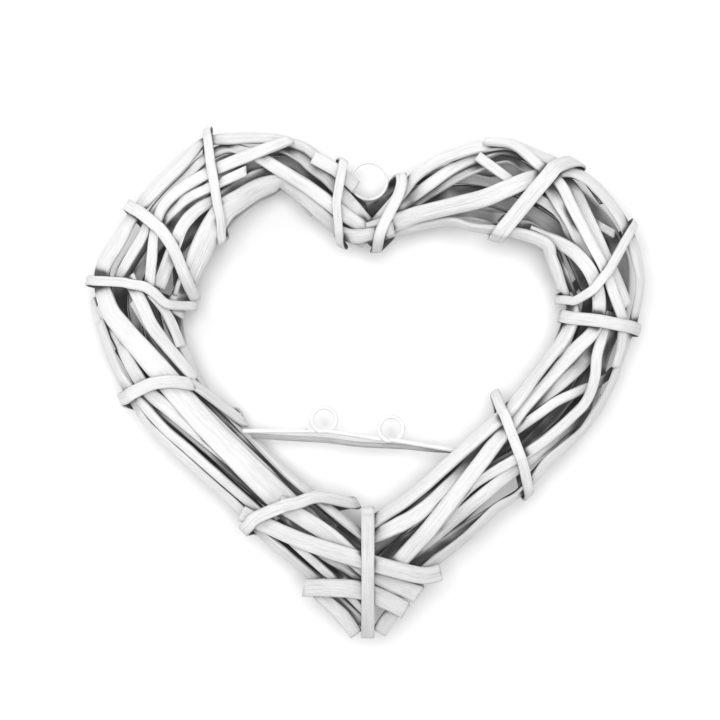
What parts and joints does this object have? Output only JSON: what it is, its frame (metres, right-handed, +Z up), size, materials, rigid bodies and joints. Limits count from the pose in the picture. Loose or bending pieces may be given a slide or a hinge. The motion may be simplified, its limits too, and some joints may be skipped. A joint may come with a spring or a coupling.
{
  "type": "wicker heart ornament",
  "caption": "Heart bound from white painted split willow canes, with cane straps, a wire hanging ring in the cleft and a looped wire crossbar.",
  "frame": {"origin": "centre of the bounding box at the resting plane", "axes": "+X across the heart, +Y from the tip towards the cleft, +Z up out of the front face"},
  "size_m": [0.2528, 0.2302, 0.0414],
  "materials": {
    "cane_paint": "chalky white paint over split willow, worn thin on the edges",
    "back_cane_paint": "thinner white wash over split willow",
    "strap_paint": "chalky white paint over thin split cane",
    "wire_paint": "white paint on steel wire",
    "bare_rod": "pale washed twig"
  },
  "bodies": {
    "root": {"hanging_ring": "wire_paint", "crossbar_wire": "wire_paint", "crossbar_rod": "bare_rod", "tip_long_splint": "cane_paint", "tip_low_splint": "cane_paint", "tip_slanting_splint": "cane_paint", "tip_left_point_splint": "cane_paint", "tip_right_point_splint": "cane_paint", "tip_back_splint": "back_cane_paint", "cleft_stub_cane": "cane_paint", "strap_left_tail": "strap_paint", "saddle_strip": "strap_paint", "left_narrow_upper_cane": "cane_paint", "left_broad_cane": "cane_paint", "left_crossing_cane": "cane_paint", "left_inner_broad_cane": "cane_paint", "left_narrow_lower_cane": "cane_paint", "left_narrow_middle_cane": "cane_paint", "left_cleft_cane": "cane_paint", "left_side_cane": "cane_paint", "left_second_broad_cane": "cane_paint", "left_parallel_cane": "cane_paint", "left_outer_lower_cane": "cane_paint", "left_outer_edge_cane": "cane_paint", "left_inner_edge_cane": "cane_paint", "left_under_cane": "cane_paint", "left_back_cane_1": "back_cane_paint", "left_back_cane_2": "back_cane_paint", "left_back_cane_3": "back_cane_paint", "left_back_cane_4": "back_cane_paint", "right_long_narrow_cane": "cane_paint", "right_broad_cane": "cane_paint", "right_inner_edge_cane": "cane_paint", "right_sweeping_cane": "cane_paint", "right_upright_cane": "cane_paint", "right_framing_cane": "cane_paint", "right_lower_broad_cane": "cane_paint", "right_crossing_cane": "cane_paint", "right_outer_lobe_cane": "cane_paint", "right_outer_shoulder_cane": "cane_paint", "right_upper_lobe_cane": "cane_paint", "right_inner_lobe_cane": "cane_paint", "right_inner_narrow_cane": "cane_paint", "right_lower_outer_cane": "cane_paint", "right_back_cane_1": "back_cane_paint", "right_back_cane_2": "back_cane_paint", "right_back_cane_3": "back_cane_paint", "right_back_cane_4": "back_cane_paint", "strap_left_top": "strap_paint", "strap_left_shoulder": "strap_paint", "strap_left_side": "strap_paint", "strap_left_lower": "strap_paint", "strap_left_foot": "strap_paint", "strap_right_top": "strap_paint", "strap_right_shoulder": "strap_paint", "strap_right_side": "strap_paint", "strap_right_lower": "strap_paint", "strap_cleft_left": "strap_paint", "strap_cleft_right": "strap_paint", "strap_tip": "strap_paint"}
  },
  "joints": []
}
